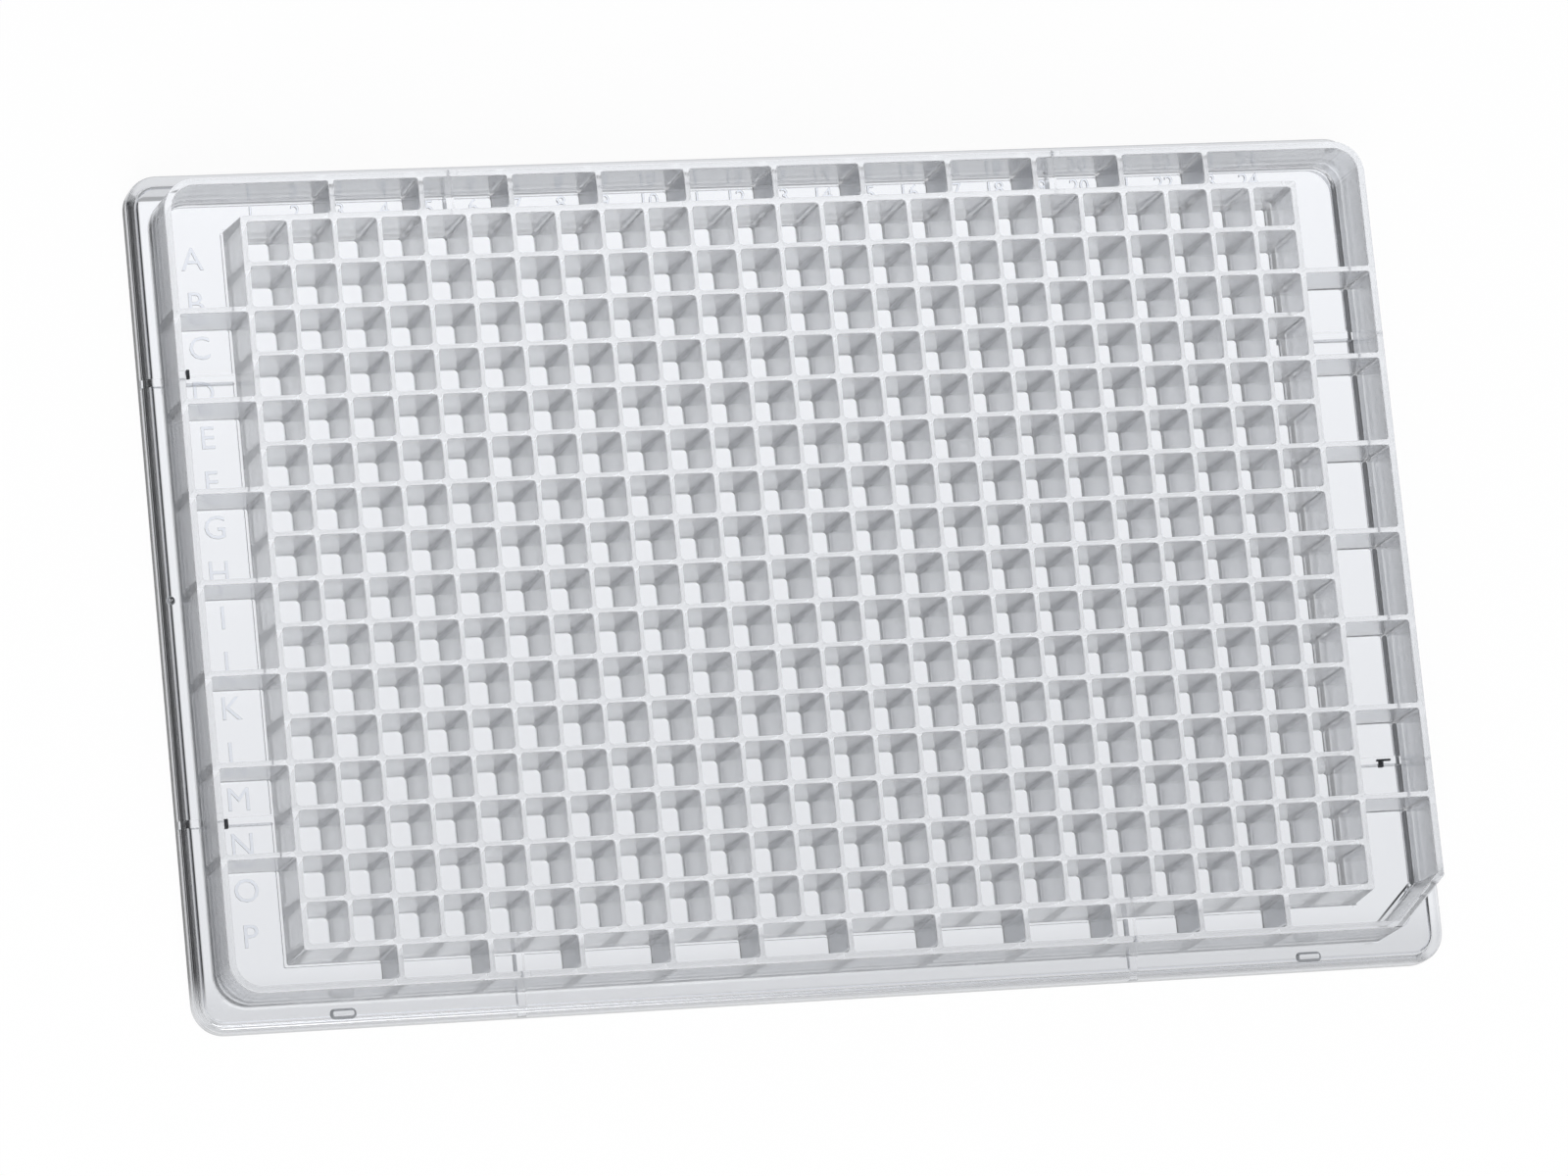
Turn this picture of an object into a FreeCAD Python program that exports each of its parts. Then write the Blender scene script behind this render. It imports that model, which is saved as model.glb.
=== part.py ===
import FreeCAD, Part
import os

# A clear polystyrene assay plate with 24 columns by 16 rows of square wells, moulded in one piece.
# Sizes are in millimetres. The origin is the middle of the footprint on the surface the plate stands on.
# +X runs along the long side towards the column with the cut-off corner, +Y towards row A, +Z up.

# Footprint and overall height
foot_length = 127.76          # standard plate footprint, long side
foot_width = 85.48            # standard plate footprint, short side
foot_corner_r = 3.18          # plan rounding of the foot's corners
plate_height = 10.4           # low-profile plate, foot to the tops of the wells
foot_height = 2.41            # height of the stepped foot flange
foot_edge_round = 0.6         # rounding along the foot's upper outer edge

# Rim wall, set in from the foot
rim_inset_x = 2.1             # foot edge to the rim's outer face on the short sides, at the rim's top
rim_inset_y = 2.44            # the same on the long sides
rim_draft = 0.15              # how far each rim face leans out over the rim's height
rim_top_wall = 0.7            # thickness of the rim wall at its top
rim_corner_r = 3.2            # plan rounding of the rim's outer corners
key_corner_leg = 5.0          # the one corner cut off at 45 degrees, along each side

# Wells
columns = 24
rows = 16
pitch = 4.5                   # centre to centre, both ways
well_mouth = 4.0              # side of the square opening
well_floor = 3.45             # side of the square floor
well_depth = 8.2
border_wall = 0.6             # wall between the outermost wells and the outside of the block
block_draft = 0.3             # how far the block's sides lean out from top to deck

# Moat between rim and block
moat_depth = 7.2              # from the tops of the wells down to the deck
rib_top = 0.55                # thickness of a cross rib at its top
rib_foot = 0.75               # thickness of a cross rib at the deck
rib_every = 2                 # a rib stands at every second wall between wells

# Underside
sheet = 1.1                   # thickness of the deck and of the foot flange
skirt_wall = 0.9              # thickness of the foot's skirt
skirt_inner_round = 0.5       # rounding inside the skirt, where it meets the flange
web_wall = 0.8                # thickness of the stiffening webs below the deck
web_lift = 0.4                # webs stop this far above the standing surface
web_x = 31.3                  # webs on the long sides, either side of the middle
web_y = 22.0                  # webs on the short sides, either side of the middle

# Low pads on top of the foot flange: a round one on each short side, two longer ones on each long side
pad_height = 0.35
round_pad_r = 0.42
round_pad_inset = 1.06        # foot edge to the pad's middle
long_pad_length = 2.6
long_pad_width = 1.0
long_pad_end_r = 0.45         # plan rounding of the long pad's ends
long_pad_inset = 1.2          # foot edge to the pad's middle line
long_pad_x = 49.35            # long pads, either side of the middle

# Levels and half sizes that follow from the values above
overlap = 0.5                 # how far joined bodies reach into one another
deck_z = plate_height - moat_depth
well_floor_z = plate_height - well_depth
foot_x = foot_length / 2
foot_y = foot_width / 2
rim_x = foot_x - rim_inset_x
rim_y = foot_y - rim_inset_y
block_x = columns * pitch / 2 - (pitch - well_mouth) / 2 + border_wall
block_y = rows * pitch / 2 - (pitch - well_mouth) / 2 + border_wall
block_foot_x = block_x + block_draft
block_foot_y = block_y + block_draft
flange_under_z = foot_height - sheet


def outline(half_x, half_y, z, radius, leg=0.0):
    """Rectangle with rounded corners; leg above zero cuts the +X -Y corner at 45 degrees instead."""
    bend = radius * (1 - 0.5 ** 0.5)
    arc_at = []
    for sx, sy in ((1, 1), (-1, 1), (-1, -1), (1, -1)):
        along_x = FreeCAD.Vector(sx * (half_x - radius), sy * half_y, z)
        along_y = FreeCAD.Vector(sx * half_x, sy * (half_y - radius), z)
        middle = FreeCAD.Vector(sx * (half_x - bend), sy * (half_y - bend), z)
        arc_at.append([along_y, middle, along_x] if sx * sy > 0 else [along_x, middle, along_y])
    if leg > 0:
        arc_at[3] = [
            FreeCAD.Vector(half_x - leg, -half_y, z),
            None,
            FreeCAD.Vector(half_x, -half_y + leg, z),
        ]
    edges = []
    for i in range(4):
        start, middle, end = arc_at[i]
        if middle is None:
            edges.append(Part.makeLine(start, end))
        else:
            edges.append(Part.Arc(start, middle, end).toShape())
        edges.append(Part.makeLine(end, arc_at[(i + 1) % 4][0]))
    return Part.Wire(edges)


def taper(low_wire, high_wire):
    """Solid between two outlines at different heights."""
    return Part.makeLoft([low_wire, high_wire], True, True)


def frustum(low, high):
    """Four-sided solid with flat faces; low and high are (half x, half y, z) of its two ends."""
    signs = [(-1, -1), (1, -1), (1, 1), (-1, 1)]
    under = [FreeCAD.Vector(sx * low[0], sy * low[1], low[2]) for sx, sy in signs]
    over = [FreeCAD.Vector(sx * high[0], sy * high[1], high[2]) for sx, sy in signs]
    loops = [under, over]
    for i in range(4):
        j = (i + 1) % 4
        loops.append([under[i], under[j], over[j], over[i]])
    faces = [Part.Face(Part.makePolygon(loop + [loop[0]])) for loop in loops]
    solid = Part.Solid(Part.makeShell(faces))
    if solid.Volume < 0:
        solid.reverse()
    return solid


def slab(half_x, half_y, radius, z_low, z_high):
    """Upright solid with a rounded rectangle as its plan."""
    face = Part.Face(outline(half_x, half_y, z_low, radius))
    return face.extrude(FreeCAD.Vector(0, 0, z_high - z_low))


def round_top(solid, radius):
    """The same upright solid with the edges round its top rounded."""
    level = solid.BoundBox.ZMax - radius / 2
    edges = [edge for edge in solid.Edges if min(vertex.Z for vertex in edge.Vertexes) > level]
    return solid.makeFillet(radius, edges)


def box(x_low, x_high, y_low, y_high, z_low, z_high):
    """Box between two opposite corners."""
    corner = FreeCAD.Vector(x_low, y_low, z_low)
    return Part.makeBox(x_high - x_low, y_high - y_low, z_high - z_low, corner)


# Foot flange with its upper outer edge rounded
foot = round_top(slab(foot_x, foot_y, foot_corner_r, 0, foot_height), foot_edge_round)

# Rim wall, filled for now, from inside the foot to the top
rim_low_z = foot_height - overlap
lean = rim_draft / (plate_height - foot_height)
low_out = lean * (plate_height - rim_low_z)
rim = taper(
    outline(rim_x + low_out, rim_y + low_out, rim_low_z, rim_corner_r + low_out, key_corner_leg + low_out),
    outline(rim_x, rim_y, plate_height, rim_corner_r, key_corner_leg),
)
body = foot.fuse(rim)

# Hollow of the rim down to the deck, carried a little above the top so that it cuts cleanly
inner_x = rim_x - rim_top_wall
inner_y = rim_y - rim_top_wall
inner_r = rim_corner_r - rim_top_wall
inner_leg = key_corner_leg - rim_top_wall * (2 - 2 ** 0.5)
inner_lean = rim_draft / moat_depth
up = inner_lean * overlap
hollow = taper(
    outline(inner_x - rim_draft, inner_y - rim_draft, deck_z, inner_r, inner_leg),
    outline(inner_x + up, inner_y + up, plate_height + overlap, inner_r, inner_leg),
)
body = body.cut(hollow)

# Block that holds the wells, and the ribs that cross the moat at every second wall
block_lean = block_draft / moat_depth
down = block_lean * overlap
block = frustum(
    (block_foot_x + down, block_foot_y + down, deck_z - overlap),
    (block_x, block_y, plate_height),
)
additions = [block]
rib_base_z = deck_z - overlap
rib_reach_x = (block_x - border_wall / 2, inner_x + rim_top_wall / 2)
rib_reach_y = (block_y - border_wall / 2, inner_y + rim_top_wall / 2)


def rib(reach, along_x, offset):
    """Cross rib, thinner at its top, between the two distances in reach; offset is its place on the side."""
    near, far = reach
    span = (far - near) / 2
    middle = (near + far) / 2
    if along_x:
        solid = frustum((span, rib_foot / 2, rib_base_z), (span, rib_top / 2, plate_height))
        solid.translate(FreeCAD.Vector(middle, offset, 0))
    else:
        solid = frustum((rib_foot / 2, span, rib_base_z), (rib_top / 2, span, plate_height))
        solid.translate(FreeCAD.Vector(offset, middle, 0))
    return solid


rib_step = rib_every * pitch
side_count = rows // rib_every - 1
end_count = columns // rib_every - 1
for i in range(side_count):
    offset = (i - (side_count - 1) / 2) * rib_step
    side = rib(rib_reach_x, True, offset)
    additions.append(side)
    additions.append(side.mirror(FreeCAD.Vector(0, 0, 0), FreeCAD.Vector(1, 0, 0)))
for i in range(end_count):
    offset = (i - (end_count - 1) / 2) * rib_step
    side = rib(rib_reach_y, False, offset)
    additions.append(side)
    additions.append(side.mirror(FreeCAD.Vector(0, 0, 0), FreeCAD.Vector(0, 1, 0)))

# Pads on the foot flange
pad_base_z = foot_height - overlap
pad_top_z = foot_height + pad_height
for sx in (-1, 1):
    base = FreeCAD.Vector(sx * (foot_x - round_pad_inset), 0, pad_base_z)
    additions.append(Part.makeCylinder(round_pad_r, pad_height + overlap, base))
long_pad = slab(long_pad_length / 2, long_pad_width / 2, long_pad_end_r, pad_base_z, pad_top_z)
for sx in (-1, 1):
    for sy in (-1, 1):
        place = FreeCAD.Vector(sx * long_pad_x, sy * (foot_y - long_pad_inset), 0)
        additions.append(long_pad.translated(place))
body = body.multiFuse(additions)

# Underside: the skirt's hollow, and the deeper ring below the deck around the block
skirt_x = foot_x - skirt_wall
skirt_y = foot_y - skirt_wall
skirt_r = foot_corner_r - skirt_wall
under_x = inner_x - rim_draft
under_y = inner_y - rim_draft
under_z = deck_z - sheet
skirt_hollow = round_top(slab(skirt_x, skirt_y, skirt_r, -overlap, flange_under_z), skirt_inner_round)
ring = slab(under_x, under_y, inner_r, -overlap, under_z)
ring_core = box(-block_foot_x, block_foot_x, -block_foot_y, block_foot_y, -2 * overlap, under_z + overlap)
ring = ring.cut(ring_core)
webs = []
for sign in (-1, 1):
    for place in (-1, 1):
        near = sign * (block_foot_x - overlap)
        far = sign * (skirt_x + overlap)
        low, high = min(near, far), max(near, far)
        y = place * web_y
        webs.append(box(low, high, y - web_wall / 2, y + web_wall / 2, web_lift, under_z + overlap))
        near = sign * (block_foot_y - overlap)
        far = sign * (skirt_y + overlap)
        low, high = min(near, far), max(near, far)
        x = place * web_x
        webs.append(box(x - web_wall / 2, x + web_wall / 2, low, high, web_lift, under_z + overlap))
underside = skirt_hollow.fuse(ring).cut(webs)
body = body.cut(underside).removeSplitter()

# Wells: one tapered square pocket, repeated over the grid
well_slope = (well_mouth - well_floor) / 2 / well_depth
mouth_half = well_mouth / 2 + well_slope * overlap
pocket = frustum(
    (well_floor / 2, well_floor / 2, well_floor_z),
    (mouth_half, mouth_half, plate_height + overlap),
)
pockets = []
for column in range(columns):
    for row in range(rows):
        x = (column - (columns - 1) / 2) * pitch
        y = (row - (rows - 1) / 2) * pitch
        pockets.append(pocket.translated(FreeCAD.Vector(x, y, 0)))
plate = body.cut(pockets)
plate = plate.Solids[0] if len(plate.Solids) == 1 else plate

os.makedirs("parts", exist_ok=True)
plate.exportStep("parts/plate.step")
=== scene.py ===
import math

import bpy
import numpy as np
from mathutils import Matrix, Vector
from mathutils.geometry import delaunay_2d_cdt


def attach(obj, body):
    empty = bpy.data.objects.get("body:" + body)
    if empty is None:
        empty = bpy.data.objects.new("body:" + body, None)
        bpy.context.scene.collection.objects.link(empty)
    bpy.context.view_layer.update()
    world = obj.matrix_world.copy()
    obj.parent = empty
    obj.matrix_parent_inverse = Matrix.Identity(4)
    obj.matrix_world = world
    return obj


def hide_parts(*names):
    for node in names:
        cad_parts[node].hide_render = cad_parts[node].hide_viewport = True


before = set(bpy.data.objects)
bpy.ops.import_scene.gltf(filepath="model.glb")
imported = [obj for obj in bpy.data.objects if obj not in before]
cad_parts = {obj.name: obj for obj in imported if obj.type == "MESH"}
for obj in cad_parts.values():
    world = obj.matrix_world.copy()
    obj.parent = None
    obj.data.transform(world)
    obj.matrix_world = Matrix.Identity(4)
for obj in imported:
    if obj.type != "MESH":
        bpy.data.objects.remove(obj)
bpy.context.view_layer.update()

# Sizes in millimetres, the same as the plate's own. The frame is in metres.
# X and Y sizes of foot, rim and block are measured from the middle.
MM = 0.001
HEIGHT = 10.4
FOOT_X, FOOT_Y, FOOT_R = 63.88, 42.74, 3.18
FOOT_TOP = 2.41
FOOT_EDGE = 0.6
RIM_X, RIM_Y, RIM_R = 61.78, 40.3, 3.2
RIM_DRAFT = 0.15
RIM_WALL = 0.7
KEY_LEG = 5.0
COLUMNS, ROWS, PITCH = 24, 16, 4.5
MOUTH, FLOOR, DEPTH = 4.0, 3.45, 8.2
BLOCK_X, BLOCK_Y, BLOCK_DRAFT = 54.35, 36.35, 0.3
MOAT = 7.2
RIB_TOP, RIB_FOOT, RIB_STEP = 0.55, 0.75, 9.0
LAST_RIB_X, LAST_RIB_Y = 45, 27
SHEET, SKIRT, SKIRT_ROUND = 1.1, 0.9, 0.5
WEB, WEB_LIFT, WEB_X, WEB_Y, WEB_REACH = 0.8, 0.4, 31.3, 22.0, 0.5
PAD_HIGH, ROUND_PAD_R, ROUND_PAD_INSET = 0.35, 0.42, 1.06
LONG_PAD, LONG_PAD_WIDE, LONG_PAD_R, LONG_PAD_INSET, LONG_PAD_X = 2.6, 1.0, 0.45, 1.2, 49.35

# Levels and sizes that follow from them
DECK = HEIGHT - MOAT
GROOVE_ROOF = DECK - SHEET
INNER_X, INNER_Y, INNER_R = RIM_X - RIM_WALL, RIM_Y - RIM_WALL, RIM_R - RIM_WALL

# Small roundings that the mould leaves on every edge
EDGE = 0.1          # edges of the wall tops
FILLET = 0.25       # foot of the walls inside the moat and the wells
RIM_FOOT = 0.5      # foot of the rim's inner face at the cut corner, and height of the bevel
RIM_BEVEL = 0.35    # reach of the bevel at the foot of the straight wall beside it
RIM_FILLET = 0.2    # foot of the rim's outer face
UNDER_EDGE = 0.25   # edges of the ring that the plate stands on
WELL_CORNER = 0.35  # upright corners inside a well
CELL_CORNER = 0.25  # upright corners inside the moat
KEY_R = 0.4         # upright edges of the cut corner, outside
KEY_INNER_R = 0.3   # the same inside the moat
WEB_CORNER = 0.02   # upright corners of the webs and grooves below
LEAST_R = 0.01      # no corner is sharper
FLOOR_LEAST_R = 0.03  # the same at the floor of a pocket

# A pad's side from its foot up: how far it has moved in, and how high it is
PAD_SIDE = ((-0.03, 0), (0, 0.06), (0.03, 0.12), (0.08, 0.22), (0.17, 0.3), (0.3, PAD_HIGH))

# Stubs of the mould's gates: place and size along x and y
GATES = (
    (-59.2, 22.5, 0.34, 0.95),
    (-59.25, -22.3, 0.4, 0.95),
    (59.25, -22.42, 0.5, 0.6),
    (59.55, -22.0, 1.5, 0.2),
)
GATE_LONG = 0.5                        # how far they hang below the deck
GATE_R = 0.07                          # their upright edges
GATE_EDGE, GATE_EDGE_HIGH = 0.05, 0.08  # slope round their lower end, across and up

# Characters on the deck: place of the row or column they stand in, height, relief
LETTER_X, LETTER_CAP, LETTER_RELIEF = -58.0, 2.3, 0.22
NUMBER_Y, NUMBER_CAP, NUMBER_RELIEF = 38.2, 1.5, 0.3
CAP_SHARE = 0.7     # a capital's height as a share of the font's size
CURVE_STEPS = 3     # points on each bow of a character
APART = 0.01        # gap that keeps pieces from lying in one plane with the plate

# Turns through a quarter circle, in more or fewer steps
COARSE = np.radians((0, 45, 90))
MEDIUM = np.radians((0, 30, 60, 90))
FINE = np.radians((0, 22.5, 45, 67.5, 90))
FINEST = np.radians((0, 15, 30, 45, 60, 75, 90))

# How many chords an upright corner gets
WELL_STEPS, CELL_STEPS, KEY_STEPS, BEND_STEPS = 2, 2, 3, 8
RIM_STEPS, UNDER_STEPS, PAD_STEPS, GATE_STEPS = 12, 8, 5, 3

# What counts as the same place
WELD_DIGITS = 5                        # decimals in which welded points agree
FILL_EPSILON = 1e-5
ON_LINE, OFF_END, SHARE_DIGITS = 1e-6, 1e-4, 9
UPRIGHT = 0.01                         # longest step that is still none

# The plastic. Drawn faces are the steep ones inside CORED_X and CORED_Y.
IOR = 1.59
LEVEL_ROUGH, STEEP_ROUGH, DRAWN_ROUGH, TORN_ROUGH = 0.08, 0.2, 0.24, 0.6
# The fourth is painted shade on the gate stubs.
# The second colour is painted shade on drawn faces across x.
# The third is painted shade on the sides of the pads.
CLEAR, PAINTED_SHADE, PAD_SHADE, GATE_SHADE = "#f9fbff", "#adb0b5", "#66696e", "#5a5d62"
STEEP_FROM, STEEP_FULL = 0.5, 0.2      # height of a face's unit normal
CORED_X, CORED_Y = BLOCK_X + 0.4, INNER_Y - 0.45
LONG_WALL_Y = BLOCK_Y - 0.1            # beyond it, the block's long outer walls
RIBS_FROM, RIBS_FULL = BLOCK_Y + 0.3, BLOCK_Y + 0.5
WELL_SHADE_SHARE, RIB_SHADE_SHARE, BACK_RIB_SHADE_MORE = 0.24, 0.79, 0.21  # share of the painted shade colour on drawn faces across x
PAD_SHADE_BAND = 0.45                        # half of the band of painted shade, as a share of the pad's height
PAST_RIM = 0.5                         # the pads stand further out than this from the rim

# The board as the plastic shows it, with painted shadow lines where skirt and rim stand over it:
# the direction across the board, where the change starts and ends (mm from the middle), share of
# white
SLANT = math.sqrt(0.5)
KEY_LINE = 68.65                       # from the middle square to the rim's cut corner
BOARD_PAINTED_SHADOWS = (
    (SLANT, -SLANT, KEY_LINE - 1.0, KEY_LINE - 0.85, 0.02),
    (SLANT, -SLANT, KEY_LINE - 0.35, KEY_LINE - 0.15, 0.9),
    (1, 0, FOOT_X - 1.05, FOOT_X - 0.85, 0.95),
    (1, 0, FOOT_X - 0.05, FOOT_X + 0.25, 0.05),
    (-1, 0, FOOT_X - 1.6, FOOT_X - 1.3, 0.02),
    (-1, 0, FOOT_X - 0.5, FOOT_X - 0.2, 0.6),
    (0, 1, FOOT_Y - 2.2, FOOT_Y - 2.05, 0.45),
    (0, 1, FOOT_Y - 1.75, FOOT_Y - 1.6, 0.8),
    (0, 1, FOOT_Y, FOOT_Y + 0.5, 0.3),
    (0, -1, FOOT_Y - 6.5, FOOT_Y - 2.0, 0.8),
    (0, -1, FOOT_Y - 1.3, FOOT_Y - 0.9, 0.6),
    (0, -1, FOOT_Y - 0.5, FOOT_Y, 0.8),
)
LIT_FRONT, LIT_BACK = 0.94, 1.13       # painted light under the plate's two long sides
SEEN_PLAIN, GLOW = 1.06, 0.9           # brightness beside the plate, and its share that is glow
BOARD = "#f4f4f4"
FLOOR_R, FLOOR_POINTS = 1.5, 96        # metres, corners

# The room: brightness of walls and ceiling, and how far out or up they start and reach it
FRONT_WALL, BACK_WALL, CEILING = 0.8, 0.45, 0.25
WALL_FROM, WALL_FULL, CEILING_FROM, CEILING_FULL = 0.2, 0.9, 0.3, 0.9
DAYLIGHT = (0.97, 0.98, 1.0, 1)
LAMP_PLACE, LAMP_SIZE, LAMP_WATTS = (-0.1, -0.75, 0.85), 0.8, 4

# The camera, found from the grid of wells: degrees, pixels, and millimetres
AZIMUTH, ELEVATION, ROLL = -54.3039, 70.945, 50.1314
FOCAL_PIXELS, WIDE_PIXELS, SENSOR = 8725.79, 1600, 36
AIM, DISTANCE = (-3.235, -3.136, HEIGHT), 840.026
NEAR, FAR = 0.05, 20                   # metres

# Light runs along inside the clear walls and sheets, so its paths are long
BOUNCES, GLOSSY_BOUNCES = 24, 12

# Nodes and settings that come back often
MATH, MIX, RANGE = "ShaderNodeMath", "ShaderNodeMix", "ShaderNodeMapRange"
SPLIT, PLACES, PATH = "ShaderNodeSeparateXYZ", "ShaderNodeTexCoord", "ShaderNodeLightPath"
TIMES, PLUS, LARGER = {"operation": "MULTIPLY"}, {"operation": "ADD"}, {"operation": "MAXIMUM"}
FLOAT, RGBA = {"data_type": "FLOAT"}, {"data_type": "RGBA"}


def moved_in(corners, inward):
    """Polygon whose edges have each moved towards its inside by their own distance.

    A corner goes to the crossing of its two moved edges: with inward unit normals m and n,
    their distances a and b and c = m.n, the step is (a (m - c n) + b (n - c m)) / (1 - c c).
    """
    corners = np.asarray(corners, float)
    run = np.roll(corners, -1, 0) - corners
    run /= np.linalg.norm(run, axis=1, keepdims=True)
    n = np.column_stack((-run[:, 1], run[:, 0]))
    m = np.roll(n, 1, 0)
    b = np.broadcast_to(inward, len(corners)).astype(float)[:, None]
    a = np.roll(b, 1, 0)
    c = (m * n).sum(1)[:, None]
    return corners + (a * (m - c * n) + b * (n - c * m)) / (1 - c * c)


def rounded(corners, radius, steps):
    """Polygon with every corner turned into an arc of equal chords.

    With u and v the unit directions to the neighbours and h half their angle, the arc's centre
    is r / sin h along u + v, and a share s of the arc lies at
    (sin((1 - s) w) A + sin(s w) B) / sin w, where A and B reach from the centre to the two
    points of contact and w is the angle between them.
    """
    u = np.roll(corners, 1, 0) - corners
    v = np.roll(corners, -1, 0) - corners
    u /= np.linalg.norm(u, axis=1, keepdims=True)
    v /= np.linalg.norm(v, axis=1, keepdims=True)
    half = np.arccos(np.clip((u * v).sum(1), -1, 1)) / 2
    r = np.maximum(np.broadcast_to(radius, len(corners)), LEAST_R)
    bisector = (u + v) / np.linalg.norm(u + v, axis=1, keepdims=True)
    centre = corners + bisector * (r / np.sin(half))[:, None]
    reach = (r / np.tan(half))[:, None]
    start, end = corners + u * reach - centre, corners + v * reach - centre
    w = (math.pi - 2 * half)[:, None, None]
    s = np.linspace(0, 1, steps + 1)[None, :, None]
    arc = (np.sin((1 - s) * w) * start[:, None] + np.sin(s * w) * end[:, None]) / np.sin(w)
    return (centre[:, None] + arc).reshape(-1, 2)


def at_height(outline, z):
    """Plan outline lifted to a height."""
    return np.column_stack((outline, np.full(len(outline), z)))


def rings_along(profile, corners, radius, steps):
    """Rings of a rounded plan, one for each (distance moved in, height) of the profile."""
    return np.array([
        at_height(rounded(moved_in(corners, d), radius - d, steps), z) for d, z in profile
    ])


def pocket_rings(corners, radius, steps, bottom, lean, fillet, rise, bevel=False, turns=COARSE):
    """Stack of closed rings down the inside of a pocket, from the top of the plate to its floor.

    The mouth is rounded by a quarter circle, the wall runs straight and leans in by lean, and a
    quarter ellipse of height rise leads to the floor. Its reach inwards, fillet, is each wall's
    own, and where bevel is true a straight slope takes its place.
    """
    mouth = [(-EDGE * (1 - math.sin(t)), HEIGHT - EDGE * (1 - math.cos(t))) for t in turns]
    rings = list(rings_along(mouth, corners, radius, steps))
    for turn in turns:
        more = np.asarray(fillet) * np.where(bevel, math.sin(turn), 1 - math.cos(turn))
        at_floor = moved_in(corners, np.asarray(lean) + more)
        corner = np.maximum(radius - np.max(more), FLOOR_LEAST_R)
        z = bottom + rise * (1 - math.sin(turn))
        rings.append(at_height(rounded(at_floor, corner, steps), z))
    return np.array(rings)


class Skin:
    """Faces of one closed surface, gathered piece by piece and welded where they meet."""

    def __init__(self):
        self.points = []
        self.faces = []
        self.count = 0

    def add(self, points, faces):
        """Takes points and the faces between them, given by their places in the list."""
        points = np.asarray(points, float).reshape(-1, 3)
        self.points.append(points)
        self.faces.extend([[int(i) + self.count for i in face] for face in faces])
        self.count += len(points)

    def wall(self, stacks, facing_in, cap=False):
        """Quads between neighbouring rings; stacks is (copies, rings, points round, 3).

        Rings run counter-clockwise seen from above. facing_in turns the faces to the inside of
        the rings when the stack goes down, and to the outside when it goes up.
        """
        stacks = np.asarray(stacks, float)
        if stacks.ndim == 3:
            stacks = stacks[None]
        copies, levels, around, _ = stacks.shape
        j = np.arange(around)
        k = (j + 1) % around
        ring = np.arange(levels - 1)[:, None] * around
        order = (ring + j, ring + k, ring + around + k, ring + around + j)
        quads = np.stack(order if facing_in else order[::-1], -1).reshape(-1, 4)
        offsets = np.arange(copies)[:, None, None] * levels * around
        self.add(stacks, (quads[None] + offsets).reshape(-1, 4))
        if cap:
            last = (j if facing_in else j[::-1]) + (levels - 1) * around
            self.add(stacks, last[None] + offsets[:, :, 0])

    def flat(self, outer, holes, z, up):
        """Level face between an outline and its holes, filled by constrained Delaunay triangles."""
        loops = [np.asarray(loop)[:, :2] for loop in [outer, *holes]]
        starts = np.cumsum([0] + [len(loop) for loop in loops])
        outlines = [list(range(a, b)) for a, b in zip(starts[:-1], starts[1:])]
        given = np.concatenate(loops)
        plan = [Vector(point) for point in given.tolist()]
        found, _, faces, origins, _, owners = delaunay_2d_cdt(plan, [], outlines, 1, FILL_EPSILON)
        points = [given[origin[0]] if origin else tuple(p) for p, origin in zip(found, origins)]
        kept = [face for face, owner in zip(faces, owners) if list(owner) == [0]]
        self.add(at_height(np.array(points), z), kept if up else [face[::-1] for face in kept])

    def mesh(self, name):
        """Mesh in metres, with the points that fall together made one."""
        points = np.concatenate(self.points)
        near = np.round(points, WELD_DIGITS)
        _, first, same = np.unique(near, axis=0, return_index=True, return_inverse=True)
        same = same.ravel()
        faces = []
        for face in self.faces:
            ids = [int(same[i]) for i in face]
            ids = [a for a, b in zip(ids, ids[1:] + ids[:1]) if a != b]
            if len(ids) > 2:
                faces.append(ids)
        mesh = bpy.data.meshes.new(name)
        mesh.from_pydata((points[first] * MM).tolist(), [], faces)
        mesh.validate()
        return mesh


def rectangle(x0, x1, y0, y1):
    """Four corners, counter-clockwise from the upper right."""
    return np.array([(x1, y1), (x0, y1), (x0, y0), (x1, y0)], float)


def mirrored(rings, sx, sy):
    """The same rings in another quarter of the plate, still counter-clockwise."""
    turned = rings * np.array([sx, sy, 1])
    return turned[:, ::-1] if sx * sy < 0 else turned


def cell(corners, radius, steps, lean, wide=False):
    """Pocket of the moat.

    Where wide, the rim's foot is bevelled at the plate's end and rounder across the corner.
    """
    run = np.abs(np.roll(corners, -1, 0) - corners)
    rim_end = wide & (np.asarray(lean) == RIM_DRAFT) & (run[:, 1] > UPRIGHT)
    bevel = rim_end & (run[:, 0] < UPRIGHT)
    fillet = np.where(bevel, RIM_BEVEL, np.where(rim_end, RIM_FOOT, FILLET))
    rise = RIM_FOOT if wide else FILLET
    return pocket_rings(corners, radius, steps, DECK, lean, fillet, rise, bevel, FINE)


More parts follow.
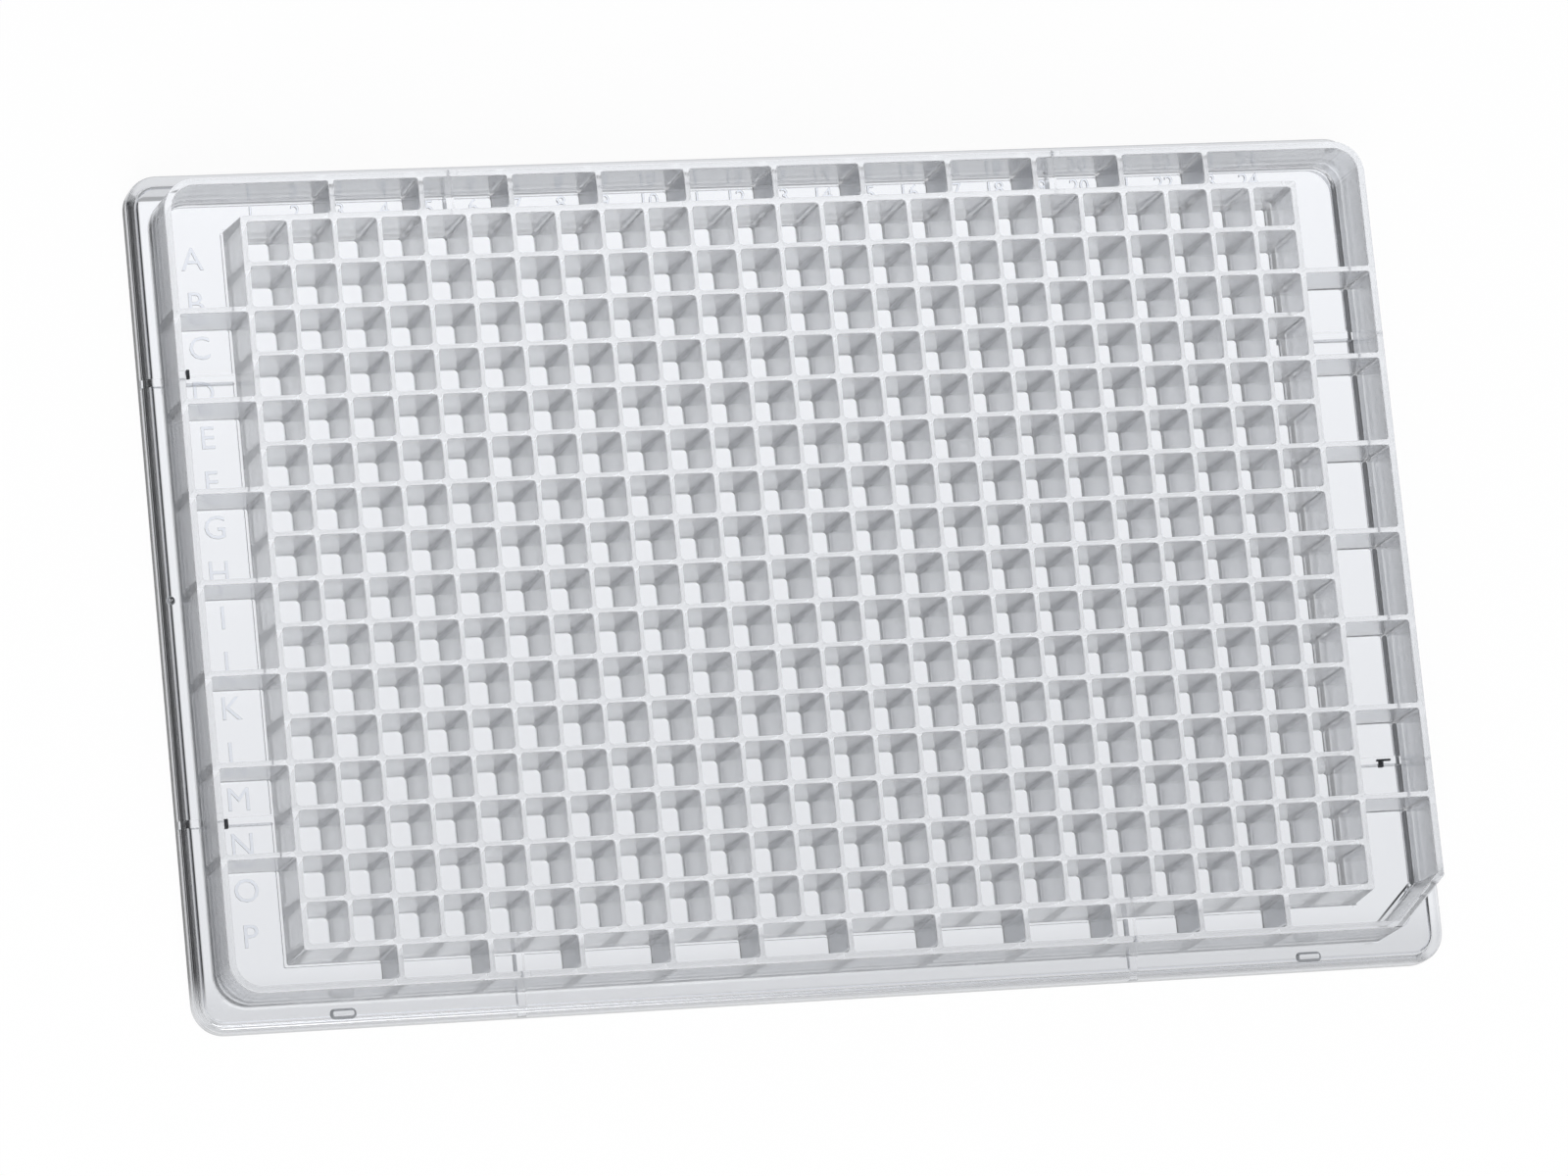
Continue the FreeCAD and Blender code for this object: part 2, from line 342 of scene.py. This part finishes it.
def moat_cells():
    """Ring stacks of the moat's pockets: straight ones between two ribs, four bent corner ones."""
    rib_lean = (RIB_FOOT - RIB_TOP) / 2
    half_rib = RIB_TOP / 2
    stacks = []
    for low in np.arange(-LAST_RIB_X, LAST_RIB_X, RIB_STEP):
        corners = rectangle(low + half_rib, low + RIB_STEP - half_rib, BLOCK_Y, INNER_Y)
        lean = (RIM_DRAFT, rib_lean, BLOCK_DRAFT, rib_lean)
        rings = cell(corners, CELL_CORNER, CELL_STEPS, lean)
        stacks += [rings, mirrored(rings, 1, -1)]
    for low in np.arange(-LAST_RIB_Y, LAST_RIB_Y, RIB_STEP):
        corners = rectangle(BLOCK_X, INNER_X, low + half_rib, low + RIB_STEP - half_rib)
        lean = (rib_lean, BLOCK_DRAFT, rib_lean, RIM_DRAFT)
        stacks.append(cell(corners, CELL_CORNER, CELL_STEPS, lean, True))
        stacks.append(mirrored(cell(corners, CELL_CORNER, CELL_STEPS, lean), -1, 1))
    rib_x, rib_y = LAST_RIB_X + half_rib, LAST_RIB_Y + half_rib
    bend = [(rib_x, BLOCK_Y), (BLOCK_X, BLOCK_Y), (BLOCK_X, rib_y), (INNER_X, rib_y)]
    small = [CELL_CORNER] * len(bend)
    lean = [BLOCK_DRAFT, BLOCK_DRAFT, rib_lean, RIM_DRAFT]
    corners = np.array(bend + [(INNER_X, INNER_Y), (rib_x, INNER_Y)])
    radius = np.array(small + [INNER_R, CELL_CORNER])
    stacks.append(cell(corners, radius, BEND_STEPS, lean + [RIM_DRAFT, rib_lean], True))
    rings = cell(corners, radius, BEND_STEPS, lean + [RIM_DRAFT, rib_lean])
    stacks += [mirrored(rings, -1, 1), mirrored(rings, -1, -1)]
    leg = KEY_LEG - RIM_WALL * (2 - math.sqrt(2))
    key = [(INNER_X, INNER_Y - leg), (INNER_X - leg, INNER_Y), (rib_x, INNER_Y)]
    radius = np.array(small + [KEY_INNER_R, KEY_INNER_R, CELL_CORNER])
    lean += [RIM_DRAFT, RIM_DRAFT, rib_lean]
    stacks.append(mirrored(cell(np.array(bend + key), radius, KEY_STEPS, lean, True), 1, -1))
    return stacks


def well_stacks():
    """Rings of one tapered square well, repeated at every crossing of the grid."""
    corners = rectangle(-MOUTH / 2, MOUTH / 2, -MOUTH / 2, MOUTH / 2)
    lean = (MOUTH - FLOOR) / 2
    one = pocket_rings(corners, WELL_CORNER, WELL_STEPS, HEIGHT - DEPTH, lean, FILLET, FILLET)
    x = (np.arange(COLUMNS) - (COLUMNS - 1) / 2) * PITCH
    y = (np.arange(ROWS) - (ROWS - 1) / 2) * PITCH
    gx, gy = np.meshgrid(x, y)
    centres = np.column_stack((gx.ravel(), gy.ravel(), np.zeros(gx.size)))
    return one[None] + centres[:, None, None, :]


def rim_rings():
    """Outside of the rim, from its top edge down to the foot, with the one corner cut off."""
    corners = np.array([
        (RIM_X, RIM_Y), (-RIM_X, RIM_Y), (-RIM_X, -RIM_Y),
        (RIM_X - KEY_LEG, -RIM_Y), (RIM_X, KEY_LEG - RIM_Y),
    ])
    radius = np.array([RIM_R, RIM_R, RIM_R, KEY_R, KEY_R])
    profile = [(EDGE * (1 - math.sin(t)), HEIGHT - EDGE * (1 - math.cos(t))) for t in COARSE]
    profile += [
        (-RIM_DRAFT - RIM_FILLET * (1 - math.cos(t)), FOOT_TOP + RIM_FILLET * (1 - math.sin(t)))
        for t in COARSE
    ]
    return rings_along(profile, corners, radius, RIM_STEPS)


def foot_rings():
    """Outside of the foot flange, over its rounded upper edge to the standing surface."""
    corners = rectangle(-FOOT_X, FOOT_X, -FOOT_Y, FOOT_Y)
    profile = [
        (FOOT_EDGE * (1 - math.sin(t)), FOOT_TOP - FOOT_EDGE * (1 - math.cos(t))) for t in FINEST
    ]
    profile += [
        (UNDER_EDGE * (1 - math.sin(t)), UNDER_EDGE * (1 - math.cos(t))) for t in MEDIUM[::-1]
    ]
    return rings_along(profile, corners, FOOT_R, RIM_STEPS)


def pad_rings(x, y, half_x, half_y, radius):
    """Low pad with a softened edge, round or long in plan."""
    corners = rectangle(x - half_x, x + half_x, y - half_y, y + half_y)
    profile = [(d, FOOT_TOP + z) for d, z in PAD_SIDE]
    return rings_along(profile, corners, radius, PAD_STEPS)


def with_points(rings, extra):
    """Rings with more points on their straight edges, where extra points lie on the last ring."""
    base = rings[-1][:, :2]
    run = np.roll(base, -1, 0) - base
    length = np.linalg.norm(run, axis=1)
    order, share = [], []
    for i in range(len(base)):
        step = np.asarray(extra) - base[i]
        along = step @ run[i] / length[i] ** 2
        off = np.abs(step[:, 0] * run[i, 1] - step[:, 1] * run[i, 0]) / length[i]
        on = (off < ON_LINE) & (along * length[i] > OFF_END) & ((1 - along) * length[i] > OFF_END)
        found = [0.0, *np.unique(np.round(along[on], SHARE_DIGITS))]
        order += [i] * len(found)
        share += found
    order, share = np.array(order), np.array(share)[:, None]
    return np.array([
        ring[order] * (1 - share) + np.roll(ring, -1, 0)[order] * share for ring in rings
    ])


def grooves_below():
    """Plans of the deeper groove round the block: straight parts between the webs, four bends."""
    bx, by = BLOCK_X + BLOCK_DRAFT, BLOCK_Y + BLOCK_DRAFT
    gx, gy = INNER_X - RIM_DRAFT, INNER_Y - RIM_DRAFT
    h = WEB / 2
    grooves = []
    for sign in (1, -1):
        y0, y1 = sorted((sign * by, sign * gy))
        grooves.append(rounded(rectangle(-WEB_X + h, WEB_X - h, y0, y1), WEB_CORNER, 1))
        x0, x1 = sorted((sign * bx, sign * gx))
        grooves.append(rounded(rectangle(x0, x1, -WEB_Y + h, WEB_Y - h), WEB_CORNER, 1))
    x, y = WEB_X + h, WEB_Y + h
    bend = np.array([(x, by), (bx, by), (bx, y), (gx, y), (gx, gy), (x, gy)])
    radius = np.array([WEB_CORNER] * 4 + [INNER_R, WEB_CORNER])
    bend = rounded(bend, radius, UNDER_STEPS)
    for s, t in ((1, 1), (-1, 1), (-1, -1), (1, -1)):
        turned = bend * np.array([s, t])
        grooves.append(turned[::-1] if s * t < 0 else turned)
    return grooves


def underside(skin, foot_edge):
    """Hollow of the skirt with its webs, and the deeper groove below the deck round the block."""
    sx, sy, sr = FOOT_X - SKIRT, FOOT_Y - SKIRT, FOOT_R - SKIRT
    roof = FOOT_TOP - SHEET
    h = WEB / 2
    ends_x, ends_y = BLOCK_X + BLOCK_DRAFT - WEB_REACH, BLOCK_Y + BLOCK_DRAFT - WEB_REACH
    notch_x = ((h, sx), (h, ends_x), (-h, ends_x), (-h, sx))
    notch_y = ((h, sy), (h, ends_y), (-h, ends_y), (-h, sy))
    back = [(x + d, y) for x in (WEB_X, -WEB_X) for d, y in notch_y]
    left = [(-x, y + d) for y in (WEB_Y, -WEB_Y) for d, x in notch_x]
    half_round = [(sx, sy)] + back + [(-sx, sy)] + left
    notched = np.array(half_round + [(-x, -y) for x, y in half_round])
    radius = np.where((np.abs(notched) == (sx, sy)).all(1), sr, WEB_CORNER)
    after = np.roll(notched, -1, 0)
    on_skirt = (np.abs(notched + after) / 2 == (sx, sy)).any(1)
    hollow = [at_height(rounded(notched, radius, UNDER_STEPS), WEB_LIFT)]
    for turn in FINEST:
        inward = SKIRT_ROUND * (1 - math.cos(turn)) * on_skirt
        corner = np.maximum(radius - inward, WEB_CORNER)
        z = roof - SKIRT_ROUND * (1 - math.sin(turn))
        hollow.append(at_height(rounded(moved_in(notched, inward), corner, UNDER_STEPS), z))
    grooves = grooves_below()
    hollow = with_points(hollow, np.concatenate(grooves))
    profile = [
        (-UNDER_EDGE * (1 - math.sin(t)), UNDER_EDGE * (1 - math.cos(t))) for t in MEDIUM
    ]
    profile.append((0, WEB_LIFT))
    skirt = rings_along(profile, rectangle(-sx, sx, -sy, sy), sr, UNDER_STEPS)
    skirt = with_points(skirt, hollow[0][:, :2])
    skin.flat(foot_edge, [skirt[0]], 0, False)
    skin.wall(skirt, False)
    skin.flat(skirt[-1], [hollow[0]], WEB_LIFT, False)
    skin.wall(hollow, False)
    skin.flat(hollow[-1], grooves, roof, False)
    for groove in grooves:
        skin.wall([at_height(groove, z) for z in (roof, GROOVE_ROOF)], False, cap=True)


def plate_mesh():
    """The whole plate as one closed surface."""
    skin = Skin()
    wells = well_stacks()
    cells = moat_cells()
    rim = rim_rings()
    foot = foot_rings()
    end, side = FOOT_X - ROUND_PAD_INSET, FOOT_Y - LONG_PAD_INSET
    r, half_x, half_y = ROUND_PAD_R, LONG_PAD / 2, LONG_PAD_WIDE / 2
    pads = [pad_rings(sx * end, 0, r, r, r - LEAST_R) for sx in (-1, 1)]
    for sx, sy in ((1, 1), (-1, 1), (-1, -1), (1, -1)):
        pads.append(pad_rings(sx * LONG_PAD_X, sy * side, half_x, half_y, LONG_PAD_R))
    skin.wall(wells, True, cap=True)
    for rings in cells:
        skin.wall(rings, True, cap=True)
    skin.wall(rim, False)
    skin.wall(foot, False)
    for pad in pads:
        skin.wall(pad, True, cap=True)
    skin.flat(rim[0], [*wells[:, 0], *(rings[0] for rings in cells)], HEIGHT, True)
    skin.flat(foot[0], [rim[-1], *(pad[0] for pad in pads)], FOOT_TOP, True)
    underside(skin, foot[-1])
    return skin.mesh("moulded_plate")


def gate_mesh(name):
    """Torn stubs of the mould's gates, small upright blocks under the deck beside three webs."""
    skin = Skin()
    low = GROOVE_ROOF - GATE_LONG
    profile = ((GATE_EDGE, low), (0, low + GATE_EDGE_HIGH), (0, GROOVE_ROOF - APART))
    for x, y, wide, deep in GATES:
        plan = rectangle(x - wide / 2, x + wide / 2, y - deep / 2, y + deep / 2)
        rings = np.array([
            at_height(rounded(moved_in(plan, d), GATE_R - d / 2, GATE_STEPS), z) for d, z in profile
        ])
        skin.flat(rings[0], [], low, False)
        skin.wall(rings, True, cap=True)
    return skin.mesh(name)


def placed(name, data):
    """New object in the scene."""
    obj = bpy.data.objects.new(name, data)
    bpy.context.scene.collection.objects.link(obj)
    return obj


def text_mesh(words, places, cap_height, raised, name):
    """Raised plain characters standing on the deck, centred on their places, in one mesh."""
    skin = Skin()
    for word, (x, y) in zip(words, places):
        curve = bpy.data.curves.new(name, "FONT")
        curve.body = word
        curve.size = cap_height / CAP_SHARE
        curve.align_x = "CENTER"
        curve.align_y = "CENTER"
        curve.extrude = raised / 2
        curve.resolution_u = CURVE_STEPS
        holder = placed(name, curve)
        graph = bpy.context.evaluated_depsgraph_get()
        made = bpy.data.meshes.new_from_object(holder.evaluated_get(graph))
        points = np.zeros(len(made.vertices) * 3)
        made.vertices.foreach_get("co", points)
        points = points.reshape(-1, 3) + (x, y, DECK + raised / 2 + APART)
        skin.add(points, [polygon.vertices for polygon in made.polygons])
        bpy.data.objects.remove(holder)
        bpy.data.curves.remove(curve)
        bpy.data.meshes.remove(made)
    return skin.mesh(name)


def linear(code):
    """sRGB hex code to linear colour."""
    parts = np.array([int(code[i:i + 2], 16) for i in (1, 3, 5)]) / 255
    parts = np.where(parts <= 0.04045, parts / 12.92, ((parts + 0.055) / 1.055) ** 2.4)
    return (*parts.tolist(), 1.0)


def cleared(owner):
    """Node tree of a material or world, emptied."""
    owner.use_nodes = True
    owner.node_tree.nodes.clear()
    return owner.node_tree


def node(tree, kind, settings=None, **links):
    """Adds a node, sets its properties and sockets, and links outputs into its inputs.

    Inputs are named, or i and their number. A node given as a source stands for its first output.
    """
    made = tree.nodes.new(kind)
    for key, value in (settings or {}).items():
        if isinstance(key, str) and hasattr(made, key):
            setattr(made, key, value)
        else:
            made.inputs[key].default_value = value
    for key, source in links.items():
        numbered = key[0] == "i" and key[1:].isdigit()
        output = source.outputs[0] if hasattr(source, "outputs") else source
        tree.links.new(output, made.inputs[int(key[1:]) if numbered else key])
    return made


def clear_polystyrene():
    """Crystal polystyrene from a polished mould: water-clear, glossy, a faint cool cast.

    Steep faces slide along the mould as it opens and blur a little what is behind them, most of
    all the walls between the 384 close cores, while well floors, deck and foot flange stay clear.
    Drawn faces across x carry painted shade, and the pads on the foot have painted shade on their
    sides.
    """
    material = bpy.data.materials.new("clear_polystyrene")
    tree = cleared(material)
    normal = node(tree, SPLIT, i0=node(tree, "ShaderNodeNewGeometry").outputs["True Normal"])
    place = node(tree, SPLIT, i0=node(tree, PLACES).outputs["Object"])
    size = {"operation": "ABSOLUTE"}
    normal_x, normal_y, normal_z = [node(tree, MATH, size, i0=out) for out in normal.outputs]
    off_x, off_y = [node(tree, MATH, size, i0=out) for out in place.outputs[:2]]
    steep = node(tree, RANGE, {"From Min": STEEP_FROM, "From Max": STEEP_FULL}, i0=normal_z)

    # Drawn faces: the walls of wells and ribs and the block's ends, not its long outer walls
    in_x = node(tree, MATH, {"operation": "LESS_THAN", 1: CORED_X * MM}, i0=off_x)
    in_y = node(tree, MATH, {"operation": "LESS_THAN", 1: CORED_Y * MM}, i0=off_y)
    inside = node(tree, MATH, TIMES, i0=in_x, i1=in_y)
    past = node(tree, MATH, {"operation": "GREATER_THAN", 1: LONG_WALL_Y * MM}, i0=off_y)
    long_wall = node(tree, MATH, TIMES, i0=normal_y, i1=past)
    other = node(tree, MATH, {"operation": "SUBTRACT", 0: 1.0}, i1=long_wall)
    cored = node(tree, MATH, TIMES, i0=inside, i1=other)
    drawn = node(tree, MATH, TIMES, i0=cored, i1=steep)
    outer = node(tree, MIX, {**FLOAT, 2: LEVEL_ROUGH, 3: STEEP_ROUGH}, i0=steep)
    rough = node(tree, MIX, {**FLOAT, 3: DRAWN_ROUGH}, i0=drawn, i2=outer)

    # Painted shade on drawn faces across x: a little in the wells, more on the ribs, most at the
    # back
    beyond = {"From Min": RIBS_FROM * MM, "From Max": RIBS_FULL * MM}
    both = node(tree, RANGE, {**beyond, "To Min": WELL_SHADE_SHARE, "To Max": RIB_SHADE_SHARE}, i0=off_y)
    back = node(tree, RANGE, {**beyond, "To Max": BACK_RIB_SHADE_MORE}, i0=place.outputs[1])
    ribs = node(tree, MATH, PLUS, i0=both, i1=back)
    ends = node(tree, MATH, TIMES, i0=normal_x, i1=ribs)
    painted_shade_share = node(tree, MATH, TIMES, i0=ends, i1=drawn)
    shaded_tint = node(tree, MIX, {**RGBA, 6: linear(CLEAR), 7: linear(PAINTED_SHADE)}, i0=painted_shade_share)

    # Painted shade on the sides of the pads on the foot
    high = node(tree, MATH, {
        "operation": "COMPARE", 1: (FOOT_TOP + PAD_HIGH / 2) * MM, 2: PAD_HIGH * PAD_SHADE_BAND * MM,
    }, i0=place.outputs[2])
    past_x = node(tree, MATH, {"operation": "GREATER_THAN", 1: (RIM_X + PAST_RIM) * MM}, i0=off_x)
    past_y = node(tree, MATH, {"operation": "GREATER_THAN", 1: (RIM_Y + PAST_RIM) * MM}, i0=off_y)
    on_foot = node(tree, MATH, LARGER, i0=past_x, i1=past_y)
    pad = node(tree, MATH, TIMES, i0=high, i1=on_foot)
    colour = node(tree, MIX, {**RGBA, 7: linear(PAD_SHADE)}, i0=pad, i6=shaded_tint.outputs[2])

    shader = node(tree, "ShaderNodeBsdfPrincipled", {
        "IOR": IOR,
        "Transmission Weight": 1.0,
    }, Roughness=rough, i0=colour.outputs[2])
    node(tree, "ShaderNodeOutputMaterial", i0=shader)
    return material


def torn_gate_painted_shade():
    """The same plastic where a gate was torn off: rough, and dark grey as painted shade on the lit
    board.
    """
    material = bpy.data.materials.new("torn_gate_painted_shade")
    tree = cleared(material)
    shader = node(tree, "ShaderNodeBsdfPrincipled", {
        "Base Color": linear(GATE_SHADE),
        "Roughness": TORN_ROUGH,
        "IOR": IOR,
    })
    node(tree, "ShaderNodeOutputMaterial", i0=shader)
    return material


def piece(name, mesh, material):
    """Object that rides on the plate's one body and takes the material given."""
    obj = placed(name, mesh)
    mesh.materials.append(material)
    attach(obj, "root")
    return obj


def studio_floor():
    """Plain white board, with painted light and shadow where the plate stands, seen through the
    plastic.

    The camera sees the board plain white, and the plate leaves a faint shadow on it.
    """
    mesh = bpy.data.meshes.new("floor")
    turn = np.linspace(0, 2 * math.pi, FLOOR_POINTS, endpoint=False)
    ring = at_height(np.column_stack((FLOOR_R * np.cos(turn), FLOOR_R * np.sin(turn))), 0)
    mesh.from_pydata(ring.tolist(), [], [list(range(FLOOR_POINTS))])
    floor = placed("floor", mesh)
    material = bpy.data.materials.new("white_board")
    tree = cleared(material)
    path = node(tree, PATH).outputs
    through = node(tree, MATH, LARGER, i0=path["Is Glossy Ray"], i1=path["Is Transmission Ray"])
    seen = node(tree, MATH, LARGER, i0=through, i1=path["Is Camera Ray"])
    share = node(tree, MATH, {**TIMES, 1: GLOW}, i0=seen)
    spot = node(tree, PLACES).outputs["Object"]
    depth = node(tree, SPLIT, i0=spot)
    lit = node(tree, RANGE, {
        "From Min": -FOOT_Y * MM, "From Max": FOOT_Y * MM, "To Min": LIT_FRONT, "To Max": LIT_BACK,
    }, i0=depth.outputs[1])
    for x, y, start, end, beyond in BOARD_PAINTED_SHADOWS:
        across = {"operation": "DOT_PRODUCT", 1: (x, y, 0)}
        outward = node(tree, "ShaderNodeVectorMath", across, i0=spot)
        around = node(tree, RANGE, {
            "interpolation_type": "SMOOTHSTEP", "From Min": start * MM, "From Max": end * MM,
        }, i0=outward.outputs["Value"])
        lit = node(tree, MIX, {**FLOAT, 3: beyond}, i0=around, i2=lit)
    tone = node(tree, MIX, {**FLOAT, 2: SEEN_PLAIN}, i0=through, i3=lit)
    board = node(tree, "ShaderNodeBsdfDiffuse", {"Color": linear(BOARD)})
    glow = node(tree, "ShaderNodeEmission", {"Color": (1, 1, 1, 1)}, i1=tone)
    mix = node(tree, "ShaderNodeMixShader", i0=share, i1=board, i2=glow)
    node(tree, "ShaderNodeOutputMaterial", i0=mix)
    mesh.materials.append(material)


def studio_world():
    """Room with lit walls before and behind the plate and dark ones at its sides.

    The camera sees it plain white.
    """
    world = bpy.data.worlds.new("studio")
    bpy.context.scene.world = world
    tree = cleared(world)
    split = node(tree, SPLIT, i0=node(tree, PLACES).outputs["Generated"])
    back = node(tree, RANGE, {
        "From Min": WALL_FROM, "From Max": WALL_FULL, "To Max": BACK_WALL,
    }, i0=split.outputs[1])
    front = node(tree, RANGE, {
        "From Min": -WALL_FROM, "From Max": -WALL_FULL, "To Max": FRONT_WALL,
    }, i0=split.outputs[1])
    walls = node(tree, MATH, PLUS, i0=back, i1=front)
    height = node(tree, RANGE, {
        "From Min": CEILING_FROM, "From Max": CEILING_FULL,
    }, i0=split.outputs[2])
    room = node(tree, MIX, {**FLOAT, 3: CEILING}, i0=height, i2=walls)
    direct = node(tree, PATH).outputs["Is Camera Ray"]
    light = node(tree, MIX, {**FLOAT, 3: 1.0}, i0=direct, i2=room)
    sky = node(tree, "ShaderNodeBackground", {"Color": DAYLIGHT}, i1=light)
    node(tree, "ShaderNodeOutputWorld", i0=sky)


def soft_box():
    """Broad soft lamp in front of the plate and above it."""
    lamp = bpy.data.lights.new("soft_box", "AREA")
    lamp.shape = "SQUARE"
    lamp.size = LAMP_SIZE
    lamp.energy = LAMP_WATTS
    holder = placed("soft_box", lamp)
    holder.location = LAMP_PLACE
    holder.rotation_euler = Vector(LAMP_PLACE).to_track_quat("Z", "Y").to_euler()


def camera():
    """Camera as in the photograph, 0.84 m away and 19 degrees off square."""
    azimuth, elevation, roll = np.radians((AZIMUTH, ELEVATION, ROLL))
    level = math.cos(elevation)
    back = np.array([
        math.sin(azimuth) * level, -math.cos(azimuth) * level, math.sin(elevation),
    ])
    right = np.cross(-back, (0, 0, 1))
    right /= np.linalg.norm(right)
    up = np.cross(right, -back)
    data = bpy.data.cameras.new("camera")
    data.sensor_fit = "HORIZONTAL"
    data.sensor_width = SENSOR
    data.lens = FOCAL_PIXELS / WIDE_PIXELS * SENSOR
    data.clip_start, data.clip_end = NEAR, FAR
    view = placed("camera", data)
    pose = np.eye(4)
    pose[:3, 0] = math.cos(roll) * right + math.sin(roll) * up
    pose[:3, 1] = -math.sin(roll) * right + math.cos(roll) * up
    pose[:3, 2] = back
    pose[:3, 3] = (np.array(AIM) + back * DISTANCE) * MM
    view.matrix_world = Matrix(pose.tolist())
    bpy.context.scene.camera = view


plastic = clear_polystyrene()
plate = piece("moulded_plate", plate_mesh(), plastic)
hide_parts("plate")

row_places = [(LETTER_X, ((ROWS - 1) / 2 - i) * PITCH) for i in range(ROWS)]
column_places = [((i - (COLUMNS - 1) / 2) * PITCH, NUMBER_Y) for i in range(COLUMNS)]
row_words = "ABCDEFGHIJKLMNOP"
column_words = [str(i + 1) for i in range(COLUMNS)]
letters = text_mesh(row_words, row_places, LETTER_CAP, LETTER_RELIEF, "row_letters")
numbers = text_mesh(column_words, column_places, NUMBER_CAP, NUMBER_RELIEF, "column_numbers")
piece("row_letters", letters, plastic)
piece("column_numbers", numbers, plastic)
piece("gate_stubs", gate_mesh("gate_stubs"), torn_gate_painted_shade())

studio_floor()
studio_world()
soft_box()
camera()
bpy.context.scene.view_settings.view_transform = "Standard"
bpy.context.scene.cycles.max_bounces = BOUNCES
bpy.context.scene.cycles.transmission_bounces = BOUNCES
bpy.context.scene.cycles.glossy_bounces = GLOSSY_BOUNCES
